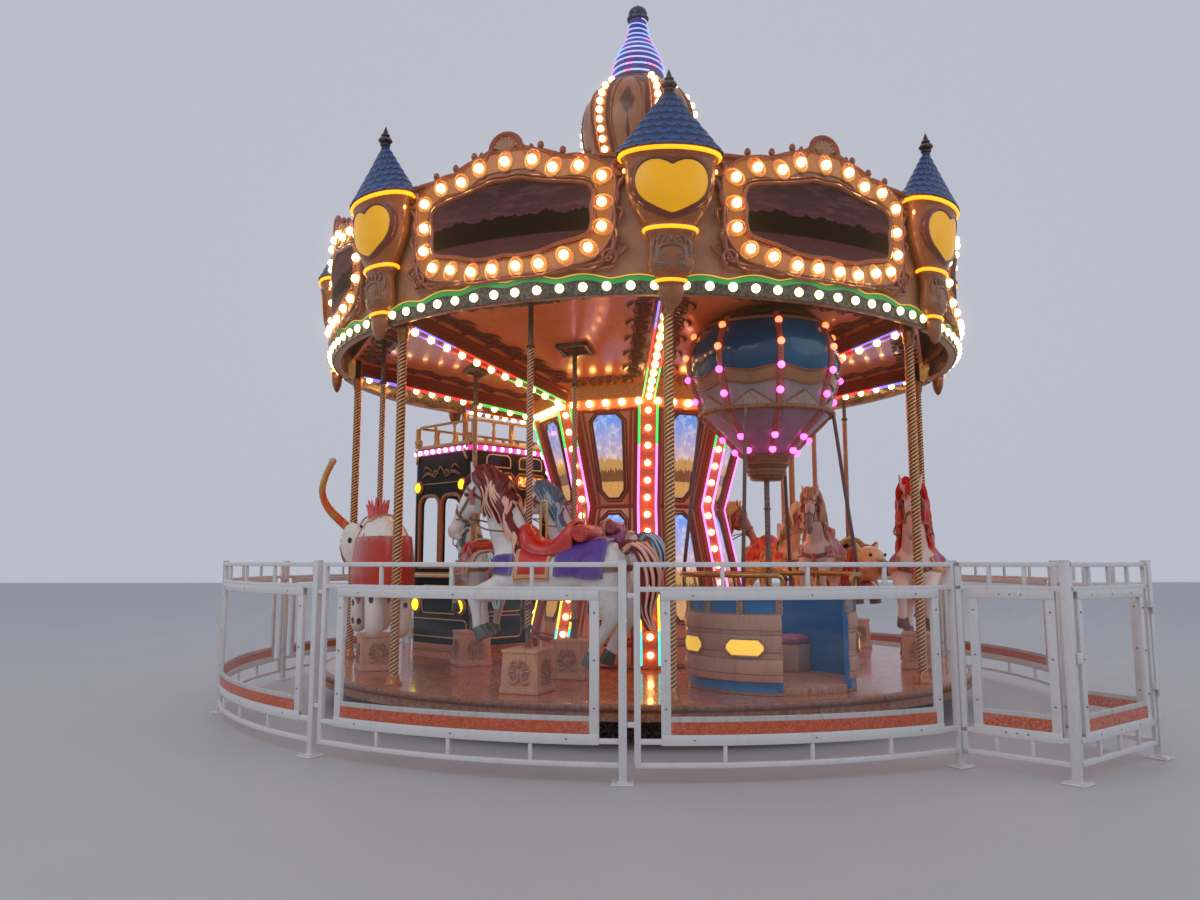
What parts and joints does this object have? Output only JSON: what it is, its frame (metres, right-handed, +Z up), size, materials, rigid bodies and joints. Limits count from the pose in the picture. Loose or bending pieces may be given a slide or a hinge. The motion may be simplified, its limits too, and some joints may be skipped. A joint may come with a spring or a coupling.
{
  "type": "fairground carousel",
  "caption": "Fairground carousel: a turning platform with riding animals, a balloon gondola and a double-deck tram under a round canopy with a dome, inside a low ring fence.",
  "frame": {"origin": "middle of the turntable at ground level", "axes": "+Z up along the turntable's axis, -Y towards the nearest turret, entrance gate towards +X -Y"},
  "size_m": [7.4578, 7.7324, 7.01],
  "materials": {
    "frame_steel": "satin",
    "deck": "satin",
    "column_panel": "gloss",
    "ceiling_panel": "gloss",
    "gold_metal": "satin",
    "roof_skin": "satin",
    "canopy_tan": "gloss",
    "spire_blue": "gloss",
    "navy_gloss": "gloss",
    "balloon_skin": "gloss",
    "basket_panel": "satin",
    "tram_green": "gloss",
    "horse_white": "gloss",
    "horse_grey": "gloss",
    "horse_lilac": "gloss",
    "horse_cream": "gloss",
    "horse_chestnut": "gloss",
    "elephant_orange": "gloss",
    "pig_tan": "gloss",
    "mane_maroon": "gloss",
    "mane_blue": "gloss",
    "tack_red": "gloss",
    "tack_purple": "gloss",
    "hoof_dark": "gloss",
    "fence_white": "satin",
    "fence_glass": "polished",
    "stripe_orange": "satin",
    "picture_gloss": "polished",
    "trim_peach": "gloss",
    "scale_blue": "gloss",
    "heart_yellow": "polished",
    "lamp_warm": "polished",
    "led_yellow": "polished",
    "led_green": "polished",
    "led_magenta": "polished",
    "led_cyan": "polished",
    "led_blue": "polished"
  },
  "bodies": {
    "root": {"base_frame": "frame_steel", "fence_bay_1": "fence_white", "fence_bay_2": "fence_white", "fence_bay_3": "fence_white", "fence_bay_4": "fence_white", "fence_bay_5": "fence_white", "fence_bay_6": "fence_white", "fence_bay_7": "fence_white", "fence_bay_8": "fence_white", "fence_bay_9": "fence_white", "fence_bay_10": "fence_white", "entrance_wall_left": "fence_white", "entrance_wall_right": "fence_white", "exit_wall_left": "fence_white", "exit_wall_right": "fence_white"},
    "turntable": {"platform": "deck", "centre_column": "column_panel", "ceiling": "ceiling_panel", "canopy_frame": "gold_metal", "roof": "roof_skin", "onion_dome": "canopy_tan", "spire": "spire_blue", "finial": "navy_gloss", "balloon": "balloon_skin", "gondola_basket": "basket_panel", "gondola_frame": "gold_metal", "tram_saloon": "tram_green", "tram_top_deck": "gold_metal", "turret_1": "canopy_tan", "turret_2": "canopy_tan", "turret_3": "canopy_tan", "turret_4": "canopy_tan", "turret_5": "canopy_tan", "turret_6": "canopy_tan", "turret_7": "canopy_tan", "turret_8": "canopy_tan", "rounding_board_1": "canopy_tan", "rounding_board_2": "canopy_tan", "rounding_board_3": "canopy_tan", "rounding_board_4": "canopy_tan", "rounding_board_5": "canopy_tan", "rounding_board_6": "canopy_tan", "rounding_board_7": "canopy_tan", "rounding_board_8": "canopy_tan"},
    "entrance_gate_leaf": {"entrance_gate": "fence_white"},
    "exit_gate_leaf": {"exit_gate": "fence_white"},
    "white_horse_rider": {"white_horse": "horse_white"},
    "blue_maned_horse_rider": {"blue_maned_horse": "horse_white"},
    "elephant_rider": {"elephant": "elephant_orange"},
    "grey_horse_rider": {"grey_horse": "horse_grey"},
    "red_maned_horse_rider": {"red_maned_horse": "horse_white"},
    "lilac_horse_rider": {"lilac_horse": "horse_lilac"},
    "pig_rider": {"pig": "pig_tan"},
    "cream_horse_rider": {"cream_horse": "horse_cream"},
    "chestnut_horse_rider": {"chestnut_horse": "horse_chestnut"},
    "dapple_horse_rider": {"dapple_horse": "horse_grey"}
  },
  "joints": [
    {"name": "carousel_turn", "type": "hinge", "parent": "root", "child": "turntable", "pos_m": [0, 0, 0.245], "axis": [0, 0, 1], "continuous": true},
    {"name": "entrance_gate_swing", "type": "hinge", "parent": "root", "child": "entrance_gate_leaf", "pos_m": [2.9776, -3.1781, 0.42], "axis": [0, 0, 1], "range_deg": [0, 100]},
    {"name": "exit_gate_swing", "type": "hinge", "parent": "root", "child": "exit_gate_leaf", "pos_m": [-2.9776, 3.1781, 0.42], "axis": [0, 0, 1], "range_deg": [0, 100]},
    {"name": "white_horse_rise", "type": "slide", "parent": "turntable", "child": "white_horse_rider", "axis": [0, 0, 1], "range_m": [-0.1, 0.1]},
    {"name": "blue_maned_horse_rise", "type": "slide", "parent": "turntable", "child": "blue_maned_horse_rider", "axis": [0, 0, 1], "range_m": [-0.1, 0.1]},
    {"name": "elephant_rise", "type": "slide", "parent": "turntable", "child": "elephant_rider", "axis": [0, 0, 1], "range_m": [-0.1, 0.1]},
    {"name": "grey_horse_rise", "type": "slide", "parent": "turntable", "child": "grey_horse_rider", "axis": [0, 0, 1], "range_m": [-0.1, 0.1]},
    {"name": "red_maned_horse_rise", "type": "slide", "parent": "turntable", "child": "red_maned_horse_rider", "axis": [0, 0, 1], "range_m": [-0.1, 0.1]},
    {"name": "lilac_horse_rise", "type": "slide", "parent": "turntable", "child": "lilac_horse_rider", "axis": [0, 0, 1], "range_m": [-0.1, 0.1]},
    {"name": "pig_rise", "type": "slide", "parent": "turntable", "child": "pig_rider", "axis": [0, 0, 1], "range_m": [-0.1, 0.1]},
    {"name": "cream_horse_rise", "type": "slide", "parent": "turntable", "child": "cream_horse_rider", "axis": [0, 0, 1], "range_m": [-0.1, 0.1]},
    {"name": "chestnut_horse_rise", "type": "slide", "parent": "turntable", "child": "chestnut_horse_rider", "axis": [0, 0, 1], "range_m": [-0.1, 0.1]},
    {"name": "dapple_horse_rise", "type": "slide", "parent": "turntable", "child": "dapple_horse_rider", "axis": [0, 0, 1], "range_m": [-0.1, 0.1]}
  ]
}
